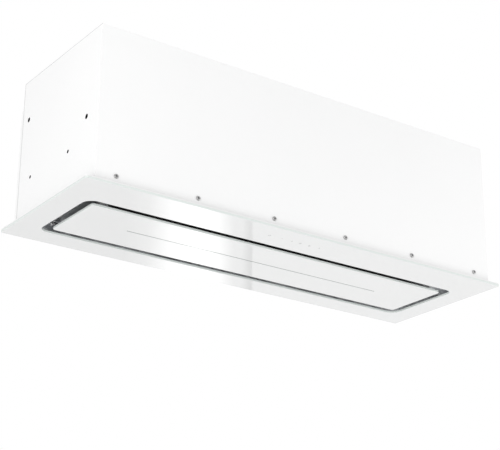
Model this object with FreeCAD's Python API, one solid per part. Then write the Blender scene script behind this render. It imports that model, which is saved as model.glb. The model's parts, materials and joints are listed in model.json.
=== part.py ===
import FreeCAD, Part

import math
import os

from FreeCAD import Vector

# Ceiling range hood, recessed type, with perimeter suction.
# Millimetres. X runs along the hood, Y across it, Z up. -Y is the side with the touch keys.
# The origin is the centre of the underside of the glass face frame.

# ---------------------------------------------------------------- driving dimensions

# Face frame: glass border on a folded steel carrier, with a slot opening behind its centre line
frame_length = 900.0
frame_depth = 302.0
frame_corner = 4.0
glass = 4.0
glass_arris = 0.5
carrier_sheet = 2.0
carrier_inset = 0.5
end_border = 47.0
near_border = 77.5
far_border = 48.0
opening_corner = 20.0
upstand_sheet = 1.5
upstand_height = 22.0
upstand_end_gap = 12.0

# Housing of folded sheet
housing_end_setback = 21.0
housing_near_setback = 8.8
housing_far_setback = 15.2
hood_height = 285.0
sheet = 1.0
fold = 14.0
fold_gap = 1.0

# Screws
wall_screw_count = 6
wall_screw_margin = 37.25
wall_screw_height = 19.3
screw_radius = 2.0
screw_hole_clearance = 0.2
screw_head_radius = 4.0
screw_head_height = 2.2
screw_length = 8.5
recess_width = 0.9
recess_span = 4.6
recess_depth = 1.3
roof_screw_margin = 49.0
roof_screw_inner = 130.0

# Holes in the end walls: (distance from the near face, height, radius), then from the far face
near_wall_holes = ((40.5, 130.2, 4.5), (99.4, 88.9, 3.2))
far_wall_holes = ((22.9, 206.0, 4.5), (43.0, 89.7, 3.2))

# Suction tray: collar and deck inside the opening, with one cavity for both filters
tray_sheet = 1.0
collar_setback = 0.5
collar_clearance = 0.2
tray_flange = 8.0
deck_under = 15.0
cavity_end_margin = 65.0
cavity_side_margin = 26.75
cavity_corner = 1.0

# Panel
suction_gap = 18.3
panel_corner = 6.0
pan_end_margin = 44.7
pan_side_margin = 15.45
pan_sheet = 0.8
pan_height = 7.0

# Lamp in the panel
light_length = 555.0
light_width = 2.4
light_clearance = 0.1
light_recess = 0.2
light_flange_width = 10.0
light_flange = 1.5
channel_width = 16.0
channel_end_margin = 4.0
channel_sheet = 1.0
channel_clearance = 0.3
lamp_board_thickness = 1.6

# Panel hinge, on the far edge
hinge_setback = 2.0
hinge_height = 10.5
hinge_pin_radius = 1.5
hinge_running_clearance = 0.05
knuckle_radius = 3.2
knuckle_width = 12.5
leaf_length = 24.0
leaf_sheet = 1.5
hinge_arm_gap = 1.3
hinge_arm_sheet = 2.0
hinge_arm_height = 4.0
hinge_foot_width = 15.0
hinge_foot_length = 16.0
hinge_foot_setback = 40.0
hinge_foot_sheet = 1.5
pin_head_radius = 2.6
pin_head_height = 1.6

# Magnetic catch on the near edge
catch_end_setback = 26.7
catch_width = 16.0
catch_depth = 10.0
catch_setback = 15.0
catch_gap = 0.3
catch_plate_height = 3.5
catch_plate_margin = 4.0

# Grease filters
filter_gap = 0.5
filter_height = 9.5
filter_wall = 1.5
filter_lip = 12.0
filter_lip_sheet = 1.0
mesh_sheet = 1.0
mesh_hole = 12.0
mesh_web = 4.0
hook_width = 24.0
hook_reach = 5.0
hook_sheet = 1.0
hook_place = 110.0

# Filter latch
latch_width = 20.0
latch_length = 26.0
latch_sheet = 2.0
latch_reach = 4.0
latch_travel = 6.0
latch_clearance = 0.3
latch_bed_width = 26.0
grip_width = 14.0
grip_sheet = 2.0
grip_setback = 13.0
grip_drop = 2.5
spring_length = 18.0
spring_radius = 1.9
spring_wire = 0.6
spring_seat = 2.0

# Blower
fan_y = -16.0
fan_z = 145.0
rotor_radius = 78.0
rotor_length = 148.0
rotor_ring = 8.0
rotor_ring_sheet = 2.0
rotor_disc_sheet = 2.0
blade_count = 36
blade_depth = 13.0
blade_sheet = 0.8
blade_sweep = 9.0
hub_radius = 12.0
hub_back = 14.0
hub_front = 10.0
shaft_radius = 4.0
shaft_clearance = 0.05
shaft_in_motor = 16.0
scroll_sheet = 1.2
scroll_clearance = 16.0
scroll_side_clearance = 10.0
scroll_growth = 12.0
tongue_place = 18.3
inlet_radius = 58.0
inlet_sheet = 1.2
inlet_depth = 8.0
inlet_flange = 14.0
inlet_flange_sheet = 1.0
inlet_hole_margin = 4.0

# Motor
motor_radius = 46.0
motor_gap = 4.0
motor_shoulder = 6.0
bracket_sheet = 2.0
bracket_disc = 38.0
bracket_arm_width = 14.0
bush_radius = 6.0
bush_height = 5.0
bush_circle = 80.0
bush_angles = (30.0, 150.0, 270.0)

# Air outlet
outlet_radius = 75.0
outlet_y = 38.0
outlet_fold_gap = 0.8
outlet_tube_sheet = 1.0
outlet_tube_height = 50.0
outlet_flange_radius = 86.0
outlet_flange_sheet = 1.5
outlet_screw_circle = 80.6
outlet_box_height = 34.0
outlet_box_margin = 2.0
outlet_box_flange = 6.0

# Non-return flaps
flap_pin_height = 15.0
flap_pin_radius = 2.0
flap_clearance = 1.5
flap_sheet = 1.2
flap_hinge_gap = 4.5
flap_knuckle_radius = 3.4
flap_running_clearance = 0.05
flap_knuckle_width = 20.0
front_knuckles = (-56.0, 0.0, 56.0)
rear_knuckles = (-28.0, 28.0)
stop_width = 3.5
stop_height = 1.5
stop_gap = 0.3

# What the hood hangs from, and the rails behind it
nut_end_setback = 109.0
nut_side_setback = 39.0
nut_thread_radius = 4.0
nut_body_radius = 5.5
nut_flange_radius = 8.0
nut_flange = 1.0
nut_length = 16.0
hanger_width = 40.0
hanger_height = 20.0
hanger_sheet = 1.5
rail_width = 30.0
rail_depth = 9.0
rail_sheet = 1.5
rail_top = 234.0
rail_inset = 1.0
rail_hole_radius = 3.5
rail_hole_heights = (90.0, 210.0)

# Supply and controls
gland_x = 200.0
gland_y = -60.0
gland_thread_radius = 8.0
gland_bore_radius = 4.5
gland_hex_radius = 13.0
gland_hex_height = 6.0
gland_dome_radius = 10.0
gland_dome_height = 12.0
gland_thread_length = 10.0
gland_clearance = 0.2
terminal_length = 90.0
terminal_depth = 60.0
terminal_height = 42.0
terminal_wall = 2.0
capacitor_x = -200.0
capacitor_y = -60.0
capacitor_radius = 16.0
capacitor_height = 55.0
clip_sheet = 1.2
clip_height = 14.0
clip_drop = 24.0
clip_foot = 18.0
key_row_setback = 38.0
key_row_x = -13.0
touch_length = 136.0
touch_depth = 18.0
touch_board_thickness = 1.6
touch_clearance = 0.6
control_length = 160.0
control_depth = 38.0
control_height = 18.0
control_wall = 1.5
driver_end_setback = 55.0
driver_y = 20.0
driver_length = 42.0
driver_depth = 100.0
driver_height = 22.0
driver_corner = 3.0

# ---------------------------------------------------------------- places worked out from them

frame_top = glass + carrier_sheet
opening_length = frame_length - 2 * end_border
opening_depth = frame_depth - near_border - far_border
opening_shift = (near_border - far_border) / 2
front_face = housing_near_setback - frame_depth / 2
rear_face = frame_depth / 2 - housing_far_setback
side_face = frame_length / 2 - housing_end_setback
roof_under = hood_height - sheet
deck_top = deck_under + tray_sheet
screw_hole = screw_radius + screw_hole_clearance
wall_screw_pitch = 2 * (side_face - wall_screw_margin) / (wall_screw_count - 1)
key_row_y = key_row_setback - frame_depth / 2
driver_x = driver_end_setback - side_face

panel_length = opening_length - 2 * suction_gap
panel_depth = opening_depth - 2 * suction_gap
panel_near = opening_shift - panel_depth / 2
panel_far = opening_shift + panel_depth / 2
pan_length = panel_length - 2 * pan_end_margin
pan_depth = panel_depth - 2 * pan_side_margin
pan_top = glass + pan_height

hinge_y = panel_far - hinge_setback
catch_place = panel_length / 2 - catch_end_setback
cavity_length = opening_length - 2 * cavity_end_margin
cavity_depth = opening_depth - 2 * cavity_side_margin
cavity_near = opening_shift - cavity_depth / 2
cavity_far = opening_shift + cavity_depth / 2
filter_length = (cavity_length - 3 * filter_gap) / 2
filter_depth = cavity_depth - 2 * filter_gap
filter_near = cavity_near + filter_gap
filter_far = cavity_far - filter_gap
filter_top = deck_under + filter_height
filter_centre = (filter_length + filter_gap) / 2

casing_half = rotor_length / 2 + scroll_side_clearance
cheek_outside = casing_half + scroll_sheet
scroll_radius = rotor_radius + scroll_clearance
outlet_box_half = outlet_radius + outlet_box_margin
outlet_box_under = roof_under - outlet_box_height
neck_left = fan_y + tongue_place
bush_foot = cheek_outside
bracket_inside = cheek_outside + bush_height

flap_pin_z = hood_height + flap_pin_height
tube_inside = outlet_radius - outlet_tube_sheet
X = Vector(1, 0, 0)
Y = Vector(0, 1, 0)
Z = Vector(0, 0, 1)

# ---------------------------------------------------------------- helpers


def box(x0, x1, y0, y1, z0, z1):
    return Part.makeBox(x1 - x0, y1 - y0, z1 - z0, Vector(x0, y0, z0))


def block(x, y, length, depth, z0, z1):
    """A box centred on (x, y)."""
    return box(x - length / 2, x + length / 2, y - depth / 2, y + depth / 2, z0, z1)


def plate(length, depth, corner, z0, z1, y=0.0):
    """A flat plate with round corners, centred on x = 0."""
    blank = block(0, y, length, depth, z0, z1)
    upright = [e for e in blank.Edges if abs(e.Vertexes[0].Z - e.Vertexes[-1].Z) > (z1 - z0) / 2]
    return blank.makeFillet(corner, upright)


def rod(radius, length, start, direction):
    return Part.makeCylinder(radius, length, start, direction)


def tube(outer, inner, length, start, direction):
    return rod(outer, length, start, direction).cut(rod(inner, length, start, direction))


def join(shapes):
    first = shapes[0]
    return first.fuse(list(shapes[1:])).removeSplitter()


def mirror_x(shape):
    return shape.mirror(Vector(0, 0, 0), X)


def arris(shape, z, size):
    """A small chamfer round the edges that lie wholly at the height z."""
    edges = [e for e in shape.Edges if e.BoundBox.ZMin > z - 0.01 and e.BoundBox.ZMax < z + 0.01]
    return shape.makeChamfer(size, edges)


def save(name, *solids):
    shape = solids[0] if len(solids) == 1 else Part.makeCompound(list(solids))
    shape.exportStep(os.path.join("parts", name + ".step"))


# ---------------------------------------------------------------- face frame


def opening(grow, z0, z1):
    """The slot opening's outline, grown all round, as a solid to cut with."""
    return plate(opening_length + 2 * grow, opening_depth + 2 * grow, opening_corner + grow,
                 z0, z1, opening_shift)


def wall_screw_xs():
    first = -(wall_screw_count - 1) / 2
    return [(first + i) * wall_screw_pitch for i in range(wall_screw_count)]


def make_frame_glass():
    glass_sheet = plate(frame_length, frame_depth, frame_corner, 0, glass)
    glass_sheet = glass_sheet.cut(opening(0, -1, glass + 1))
    return arris(glass_sheet, 0, glass_arris)


def upstand(face, inward):
    """Folded strip behind a long wall, drilled for that wall's screws."""
    near = face + inward * sheet
    far = near + inward * upstand_sheet
    half = side_face - sheet - upstand_end_gap - sheet
    strip = box(-half, half, min(near, far), max(near, far), glass, frame_top + upstand_height)
    for x in wall_screw_xs():
        start = Vector(x, near - inward, wall_screw_height)
        strip = strip.cut(rod(screw_hole, upstand_sheet + 2, start, Y * inward))
    return strip


def make_frame_carrier():
    base = plate(frame_length - 2 * carrier_inset, frame_depth - 2 * carrier_inset, frame_corner,
                 glass, frame_top)
    carrier = join([base, upstand(front_face, 1), upstand(rear_face, -1)])
    grow = collar_setback + tray_sheet + collar_clearance
    carrier = carrier.cut(opening(grow, 0, deck_under))
    window = block(key_row_x, key_row_y, touch_length + 2 * touch_clearance,
                   touch_depth + 2 * touch_clearance, 0, deck_under)
    return carrier.cut(window)


def make_suction_tray():
    outer = collar_setback + tray_sheet
    collar = opening(outer, glass, deck_top)
    flange = opening(outer + tray_flange, frame_top, frame_top + tray_sheet)
    tray = join([collar, flange]).cut(opening(collar_setback, 0, deck_under))
    cavity = plate(cavity_length, cavity_depth, cavity_corner, 0, deck_top + 1, opening_shift)
    return tray.cut(cavity)


# ---------------------------------------------------------------- housing


def make_long_wall(face, inward):
    """Front or rear wall: one sheet with folds at both ends and at the top."""
    inside = face + inward * sheet
    fold_end = face + inward * fold
    low, high = sorted((face, inside))
    skin = box(-side_face, side_face, low, high, frame_top, roof_under)
    low, high = sorted((inside, fold_end))
    top_half = side_face - fold - fold_gap
    top_fold = box(-top_half, top_half, low, high, roof_under - sheet, roof_under)
    end_fold = box(sheet - side_face, 2 * sheet - side_face, low, high, frame_top, roof_under)
    wall = join([skin, top_fold, end_fold, mirror_x(end_fold)])
    for x in wall_screw_xs():
        start = Vector(x, face - inward, wall_screw_height)
        wall = wall.cut(rod(screw_hole, sheet + 2, start, Y * inward))
    for x in roof_screw_xs():
        start = Vector(x, roof_screw_y(face, inward), roof_under - 2 * sheet)
        wall = wall.cut(rod(screw_hole, 3 * sheet, start, Z))
    return wall


def roof_screw_xs():
    end = side_face - roof_screw_margin
    return (-end, -roof_screw_inner, roof_screw_inner, end)


def roof_screw_y(face, inward):
    return face + inward * (fold + sheet) / 2


def make_left_end_wall():
    """End wall between the long walls, folded in at its top and foot."""
    skin = box(-side_face, sheet - side_face, front_face + sheet, rear_face - sheet,
               frame_top, roof_under)
    low = front_face + fold + fold_gap
    high = rear_face - fold - fold_gap
    foot = box(sheet - side_face, fold - side_face, low, high, frame_top, frame_top + sheet)
    head = box(sheet - side_face, fold - side_face, low, high, roof_under - sheet, roof_under)
    wall = join([skin, foot, head])
    places = [(front_face + inset, z, radius) for inset, z, radius in near_wall_holes]
    places += [(rear_face - inset, z, radius) for inset, z, radius in far_wall_holes]
    for y, z, radius in places:
        wall = wall.cut(rod(radius, 3 * sheet, Vector(-side_face - sheet, y, z), X))
    return wall


def make_rear_wall():
    """Long wall whose top fold makes room for the outlet box."""
    half = cheek_outside + outlet_fold_gap
    room = box(-half, half, outlet_y, outlet_y + outlet_box_half + outlet_fold_gap,
               outlet_box_under, hood_height)
    return make_long_wall(rear_face, -1).cut(room)


def make_top_plate():
    roof = box(-side_face, side_face, front_face, rear_face, roof_under, hood_height)
    holes = [rod(tube_inside, 3 * sheet, Vector(0, outlet_y, roof_under - sheet), Z)]
    holes.append(rod(gland_thread_radius + gland_clearance, 3 * sheet,
                     Vector(gland_x, gland_y, roof_under - sheet), Z))
    for x, y in roof_screw_points():
        holes.append(rod(screw_hole, 3 * sheet, Vector(x, y, roof_under - sheet), Z))
    for x, y in hanger_nut_points():
        holes.append(rod(nut_body_radius, 3 * sheet, Vector(x, y, roof_under - sheet), Z))
    return roof.cut(holes)


def roof_screw_points():
    """The plate's own screws, then those of the outlet collar's flange."""
    points = [(x, roof_screw_y(front_face, 1)) for x in roof_screw_xs()]
    points += [(x, roof_screw_y(rear_face, -1)) for x in roof_screw_xs()]
    return points + outlet_screw_points()


def outlet_screw_points():
    side = outlet_screw_circle * math.sqrt(0.5)
    return [(sx * side, outlet_y + sy * side) for sx in (-1, 1) for sy in (-1, 1)]


# ---------------------------------------------------------------- screws


def pan_screw():
    """Pan-head screw with its head's seat at z = 0 and its shank below."""
    head = rod(screw_head_radius, screw_head_height, Vector(0, 0, 0), Z)
    rim = [e for e in head.Edges if e.BoundBox.ZMin > screw_head_height - 0.01]
    head = head.makeFillet(screw_head_height * 0.6, rim)
    screw = join([head, rod(screw_radius, screw_length, Vector(0, 0, -screw_length), Z)])
    top = screw_head_height + 1
    floor = screw_head_height - recess_depth
    across = block(0, 0, recess_span, recess_width, floor, top)
    along = block(0, 0, recess_width, recess_span, floor, top)
    return screw.cut([across, along])


def screws_at(points, direction):
    """Copies of the screw at these points, with their heads towards direction."""
    turn = FreeCAD.Rotation(Z, direction)
    placed = []
    for point in points:
        screw = pan_screw()
        screw.Placement = FreeCAD.Placement(point, turn)
        placed.append(screw)
    return placed


def make_wall_screws(face, outward):
    points = [Vector(x, face, wall_screw_height) for x in wall_screw_xs()]
    return screws_at(points, Y * outward)


def make_top_plate_screws():
    collar_screws = set(outlet_screw_points())
    points = []
    for x, y in roof_screw_points():
        lift = outlet_flange_sheet if (x, y) in collar_screws else 0
        points.append(Vector(x, y, hood_height + lift))
    return screws_at(points, Z)


# ---------------------------------------------------------------- rails and hangers


def make_left_rear_rail():
    """Channel with its open side against the rear wall."""
    x0 = rail_inset - side_face
    x1 = x0 + rail_width
    back = rear_face + rail_depth
    rail = box(x0, x1, rear_face, back, frame_top, rail_top)
    hollow = box(x0 + rail_sheet, x1 - rail_sheet, rear_face, back - rail_sheet, 0, rail_top + 1)
    rail = rail.cut(hollow)
    for z in rail_hole_heights:
        start = Vector((x0 + x1) / 2, back - 2 * rail_sheet, z)
        rail = rail.cut(rod(rail_hole_radius, 3 * rail_sheet, start, Y))
    return rail


def hanger_nut_points():
    x = side_face - nut_end_setback
    ys = (front_face + nut_side_setback, rear_face - nut_side_setback)
    return [(side * x, y) for side in (-1, 1) for y in ys]


def make_right_hanger_channel():
    """Stiffener across the top, with its web against the top plate."""
    x = side_face - nut_end_setback
    y0 = front_face + fold + fold_gap
    y1 = rear_face - fold - fold_gap
    foot = roof_under - hanger_height
    outer = box(x - hanger_width / 2, x + hanger_width / 2, y0, y1, foot, roof_under)
    inner = box(x - hanger_width / 2 + hanger_sheet, x + hanger_width / 2 - hanger_sheet,
                y0 - 1, y1 + 1, foot - 1, roof_under - hanger_sheet)
    channel = outer.cut(inner)
    for nut_x, nut_y in hanger_nut_points():
        if nut_x > 0:
            channel = channel.cut(rod(nut_body_radius, hanger_height, Vector(x, nut_y, foot), Z))
    return channel


def make_hanger_nuts():
    nuts = []
    for x, y in hanger_nut_points():
        body = rod(nut_body_radius, nut_length, Vector(x, y, hood_height - nut_length), Z)
        flange = rod(nut_flange_radius, nut_flange, Vector(x, y, hood_height), Z)
        foot = Vector(x, y, hood_height - nut_length - 0.5)
        thread = rod(nut_thread_radius, nut_length + 2, foot, Z)
        nuts.append(join([body, flange]).cut(thread))
    return nuts


# ---------------------------------------------------------------- panel


def light_slot(grow, z0, z1):
    length = light_length + 2 * grow
    return block(0, opening_shift, length, light_width + 2 * grow, z0, z1)


def make_panel_glass():
    pane = plate(panel_length, panel_depth, panel_corner, 0, glass, opening_shift)
    pane = arris(pane, 0, glass_arris)
    return pane.cut(light_slot(light_clearance, -1, glass + 1))


def make_panel_tray():
    """Shallow pan behind the glass, with a slot for the lamp channel."""
    pan = block(0, opening_shift, pan_length, pan_depth, glass, pan_top)
    inside = block(0, opening_shift, pan_length - 2 * pan_sheet, pan_depth - 2 * pan_sheet,
                   glass + pan_sheet, pan_top + 1)
    slot = block(0, opening_shift, lamp_channel_length() + 2 * channel_clearance,
                 channel_width + 2 * channel_clearance, 0, pan_top)
    return pan.cut([inside, slot])


def lamp_channel_length():
    return light_length + 2 * channel_end_margin


def make_led_channel():
    outer = block(0, opening_shift, lamp_channel_length(), channel_width, glass, pan_top)
    inner = block(0, opening_shift, lamp_channel_length() + 2, channel_width - 2 * channel_sheet,
                  glass - 1, pan_top - channel_sheet)
    return outer.cut(inner)


def make_led_board():
    top = pan_top - channel_sheet
    return block(0, opening_shift, light_length, channel_width - 2 * channel_sheet - 1,
                 top - lamp_board_thickness, top)


def make_led_diffuser():
    stem = light_slot(0, light_recess, glass)
    flange = block(0, opening_shift, light_length, light_flange_width, glass, glass + light_flange)
    return join([stem, flange])


def make_left_hinge_leaf():
    """Plate on the panel's glass with the turning knuckle at its end."""
    x0 = -panel_length / 2 + hinge_arm_gap
    x1 = x0 + knuckle_width
    leaf = box(x0, x1, hinge_y - leaf_length, hinge_y, glass, glass + leaf_sheet)
    web = box(x0, x1, hinge_y - knuckle_radius, hinge_y, glass, hinge_height)
    knuckle = rod(knuckle_radius, knuckle_width, Vector(x0, hinge_y, hinge_height), X)
    bore = rod(hinge_pin_radius + hinge_running_clearance, knuckle_width + 2,
               Vector(x0 - 1, hinge_y, hinge_height), X)
    return join([leaf, web, knuckle]).cut(bore)


def hinge_arm_x():
    """The inner face of the left hinge arm."""
    return -panel_length / 2 - hinge_arm_gap


def make_left_hinge_bracket():
    """Foot under the deck and an arm that reaches along the panel's end to the hinge pin."""
    inner = hinge_arm_x()
    outer = inner - hinge_arm_sheet
    near = hinge_y - hinge_foot_setback
    foot = box(inner - hinge_foot_width, inner, near, near + hinge_foot_length,
               deck_under - hinge_foot_sheet, deck_under)
    arm = box(outer, inner, near, hinge_y + knuckle_radius, deck_under - hinge_arm_height, deck_under)
    eye = box(outer, inner, hinge_y - knuckle_radius, hinge_y + knuckle_radius,
              hinge_height - knuckle_radius, deck_under)
    hole = rod(hinge_pin_radius, hinge_arm_sheet + 2, Vector(outer - 1, hinge_y, hinge_height), X)
    return join([foot, arm, eye]).cut(hole)


def make_left_hinge_pin():
    outer = hinge_arm_x() - hinge_arm_sheet
    reach = hinge_arm_sheet + 2 * hinge_arm_gap + knuckle_width
    shank = rod(hinge_pin_radius, reach, Vector(outer, hinge_y, hinge_height), X)
    head = rod(pin_head_radius, pin_head_height,
               Vector(outer - pin_head_height, hinge_y, hinge_height), X)
    return join([head, shank])


def catch_y():
    return panel_near + catch_setback


def make_catch_magnets():
    foot = glass + catch_plate_height + catch_gap
    return [block(side * catch_place, catch_y(), catch_width, catch_depth, foot, deck_under)
            for side in (-1, 1)]


def make_catch_plates():
    length = catch_width + 2 * catch_plate_margin
    depth = catch_depth + catch_plate_margin
    return [block(side * catch_place, catch_y(), length, depth, glass, glass + catch_plate_height)
            for side in (-1, 1)]


# ---------------------------------------------------------------- grease filters, drawn at x = 0


def latch_back():
    """The rear end of the latch at rest."""
    return cavity_near - latch_reach + latch_length


def latch_bed_end():
    return latch_back() + spring_length + spring_seat


def make_filter_frame():
    """Folded channel round the mesh, with hooks at the far edge and a latch bed at the near."""
    half = filter_length / 2
    body = box(-half, half, filter_near, filter_far, deck_under, filter_top)
    hollow = box(filter_wall - half, half - filter_wall, filter_near + filter_wall,
                 filter_far - filter_wall, deck_under + filter_lip_sheet, filter_top - filter_lip_sheet)
    window = box(filter_lip - half, half - filter_lip, filter_near + filter_lip,
                 filter_far - filter_lip, 0, filter_top + 1)
    bed = box(-latch_bed_width / 2, latch_bed_width / 2, filter_near, latch_bed_end(),
              deck_under, deck_under + filter_lip_sheet)
    seat = box(-spring_radius, spring_radius, latch_back() + spring_length, latch_bed_end(),
               deck_under, spring_z() + spring_radius)
    hooks = [box(x - hook_width / 2, x + hook_width / 2, filter_far - filter_wall,
                 cavity_far + hook_reach, deck_top, deck_top + hook_sheet)
             for x in (-hook_place, hook_place)]
    frame = join([body.cut([hollow, window]), bed, seat] + hooks)
    bolt_way = box(-latch_width / 2 - latch_clearance, latch_width / 2 + latch_clearance,
                   filter_near - 1, filter_near + filter_wall + 0.1,
                   deck_top, latch_top() + latch_clearance)
    grip_way = box(-grip_width / 2 - latch_clearance, grip_width / 2 + latch_clearance,
                   grip_y() - latch_clearance,
                   grip_y() + grip_sheet + latch_travel + latch_clearance, 0, deck_top)
    return frame.cut([bolt_way, grip_way])


def mesh_holes(z0, z1):
    """Square holes in rows that fill the window between the frame's lips."""
    pitch = mesh_hole + mesh_web
    columns = int((filter_length - 2 * filter_lip + mesh_web) // pitch)
    rows = int((filter_depth - 2 * filter_lip + mesh_web) // pitch)
    x_start = -(columns - 1) * pitch / 2
    y_start = opening_shift - (rows - 1) * pitch / 2
    return Part.makeCompound([block(x_start + i * pitch, y_start + j * pitch, mesh_hole, mesh_hole, z0, z1)
                              for i in range(columns) for j in range(rows)])


def make_filter_mesh():
    """Two holed sheets between the frame's lips; the lower one leaves the latch's bed free."""
    half = filter_length / 2 - filter_wall
    near = filter_near + filter_wall
    far = filter_far - filter_wall
    lower = deck_under + filter_lip_sheet
    upper = filter_top - filter_lip_sheet - mesh_sheet
    holes = mesh_holes(lower - 1, filter_top)
    bed_half = latch_bed_width / 2 + latch_clearance
    bed = box(-bed_half, bed_half, near - 1, latch_bed_end() + latch_clearance, 0, upper)
    sheets = [box(-half, half, near, far, z, z + mesh_sheet).cut(holes) for z in (lower, upper)]
    return [sheets[0].cut(bed), sheets[1]]


def latch_top():
    return deck_top + latch_clearance + latch_sheet


def spring_z():
    return deck_top + latch_clearance + spring_radius


def grip_y():
    return filter_near + grip_setback


def make_filter_latch():
    """Sliding bolt over the deck's edge, with a finger grip below and a spring rest behind."""
    low = deck_top + latch_clearance
    bolt = box(-latch_width / 2, latch_width / 2, cavity_near - latch_reach, latch_back(), low, latch_top())
    rest = box(-latch_width / 2, latch_width / 2, latch_back() - latch_sheet, latch_back(),
               low, spring_z() + spring_radius)
    grip = box(-grip_width / 2, grip_width / 2, grip_y(), grip_y() + grip_sheet,
               deck_under - grip_drop, low)
    return join([bolt, rest, grip])


def make_latch_spring():
    start = Vector(0, latch_back(), spring_z())
    return tube(spring_radius, spring_radius - spring_wire, spring_length, start, Y)


def shifted(shape, x):
    copy = shape.copy()
    copy.translate(Vector(x, 0, 0))
    return copy


# ---------------------------------------------------------------- blower


def fan_axis(x):
    return Vector(x, fan_y, fan_z)


def scroll_arc(y, z, radius, start, end):
    """An arc in the plane x = 0; the angles run from +Y towards +Z, in degrees."""
    points = []
    for angle in (start, (start + end) / 2, end):
        a = math.radians(angle)
        points.append(Vector(0, y + radius * math.cos(a), z + radius * math.sin(a)))
    return Part.Arc(*points).toShape()


def scroll_outline(grow, top):
    """Spiral of three arcs that open out by one growth step a quarter, and a straight neck."""
    step = scroll_growth / 2
    radius = scroll_radius + grow
    right = fan_y + step + radius + 2 * scroll_growth
    left = neck_left - grow
    tongue = math.degrees(math.acos((left - fan_y + step) / radius))
    first = scroll_arc(fan_y - step, fan_z - step, radius, tongue, 180)
    second = scroll_arc(fan_y + step, fan_z - step, radius + scroll_growth, 180, 270)
    third = scroll_arc(fan_y + step, fan_z + step, radius + 2 * scroll_growth, 270, 360)
    tongue_z = fan_z - step + radius * math.sin(math.radians(tongue))
    up = Part.makeLine(Vector(0, right, fan_z + step), Vector(0, right, top))
    across = Part.makeLine(Vector(0, right, top), Vector(0, left, top))
    down = Part.makeLine(Vector(0, left, top), Vector(0, left, tongue_z))
    return Part.Face(Part.Wire([first, second, third, up, across, down]))


def scroll_solid(grow, top, x0, x1):
    solid = scroll_outline(grow, top).extrude(Vector(x1 - x0, 0, 0))
    solid.translate(Vector(x0, 0, 0))
    return solid


def neck_right():
    return fan_y + scroll_growth / 2 + scroll_radius + 2 * scroll_growth


def make_scroll_wrap():
    outside = scroll_solid(scroll_sheet, outlet_box_under, -casing_half, casing_half)
    inside = scroll_solid(0, outlet_box_under + 1, -casing_half - 1, casing_half + 1)
    return outside.cut(inside)


def make_left_scroll_cheek():
    cheek = scroll_solid(scroll_sheet, outlet_box_under, -cheek_outside, -casing_half)
    inlet = rod(inlet_radius + inlet_hole_margin, scroll_sheet + 2, fan_axis(-cheek_outside - 1), X)
    return cheek.cut(inlet)


def make_left_inlet_ring():
    """Short throat with a flange on the outside of the cheek."""
    outside = -cheek_outside - inlet_flange_sheet
    flange = rod(inlet_radius + inlet_flange, inlet_flange_sheet, fan_axis(outside), X)
    throat = rod(inlet_radius + inlet_sheet, inlet_depth, fan_axis(outside), X)
    bore = rod(inlet_radius, inlet_depth + 2, fan_axis(outside - 1), X)
    return join([flange, throat]).cut(bore)


def blade():
    """One forward-curved blade, as a face across the fan's axis."""
    outer = rotor_radius - blade_sheet
    inner = outer - blade_depth
    middle = (outer + inner) / 2

    def at(radius, angle):
        a = math.radians(angle)
        return Vector(0, fan_y + radius * math.cos(a), fan_z + radius * math.sin(a))

    turn = math.degrees(blade_sheet / middle)
    sweep = blade_sweep
    lower = Part.Arc(at(inner, 0), at(middle, sweep * 0.2), at(outer, sweep)).toShape()
    upper = Part.Arc(at(inner, turn), at(middle, sweep * 0.2 + turn), at(outer, sweep + turn)).toShape()
    foot = Part.makeLine(at(inner, 0), at(inner, turn))
    tip = Part.makeLine(at(outer, sweep), at(outer, sweep + turn))
    return Part.Face(Part.Wire([lower, tip, upper, foot]))


def make_impeller():
    half = rotor_length / 2
    disc = rod(rotor_radius, rotor_disc_sheet, fan_axis(-rotor_disc_sheet / 2), X)
    hub = rod(hub_radius, hub_back + hub_front, fan_axis(-hub_back), X)
    rings = [tube(rotor_radius, rotor_radius - rotor_ring, rotor_ring_sheet, fan_axis(x), X)
             for x in (-half, half - rotor_ring_sheet)]
    stock = blade().extrude(Vector(rotor_length - rotor_ring_sheet, 0, 0))
    stock.translate(Vector((rotor_ring_sheet - rotor_length) / 2, 0, 0))
    blades = []
    for i in range(blade_count):
        copy = stock.copy()
        copy.rotate(fan_axis(0), X, i * 360 / blade_count)
        blades.append(copy)
    rotor = disc.fuse([hub] + rings + blades)
    return rotor.cut(rod(shaft_radius, hub_back + hub_front + 2, fan_axis(-hub_back - 1), X))


def motor_inside():
    """Where the motor's inner face stands, beyond the impeller's hub."""
    return hub_front + motor_gap


def make_motor_shaft():
    start = -hub_back
    return rod(shaft_radius, motor_inside() + shaft_in_motor - start, fan_axis(start), X)


def make_motor_housing():
    start = motor_inside()
    length = bracket_inside - start
    core = rod(motor_radius - motor_shoulder, length, fan_axis(start), X)
    belly = rod(motor_radius, length - 2 * motor_shoulder, fan_axis(start + motor_shoulder), X)
    bore = rod(shaft_radius + shaft_clearance, shaft_in_motor + 1, fan_axis(start - 0.5), X)
    return join([core, belly]).cut(bore)


def bush_point(angle, x):
    a = math.radians(angle)
    return Vector(x, fan_y + bush_circle * math.cos(a), fan_z + bush_circle * math.sin(a))


def make_motor_bushes():
    return [rod(bush_radius, bush_height, bush_point(angle, bush_foot), X) for angle in bush_angles]


def make_motor_bracket():
    """Three-armed plate that carries the motor on the cheek's rubber bushes."""
    pieces = [rod(bracket_disc, bracket_sheet, fan_axis(bracket_inside), X)]
    for angle in bush_angles:
        arm = box(bracket_inside, bracket_inside + bracket_sheet, fan_y, fan_y + bush_circle,
                  fan_z - bracket_arm_width / 2, fan_z + bracket_arm_width / 2)
        arm.rotate(fan_axis(0), X, angle)
        end = rod(bracket_arm_width / 2, bracket_sheet, bush_point(angle, bracket_inside), X)
        pieces += [arm, end]
    return join(pieces)


# ---------------------------------------------------------------- air outlet


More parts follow.
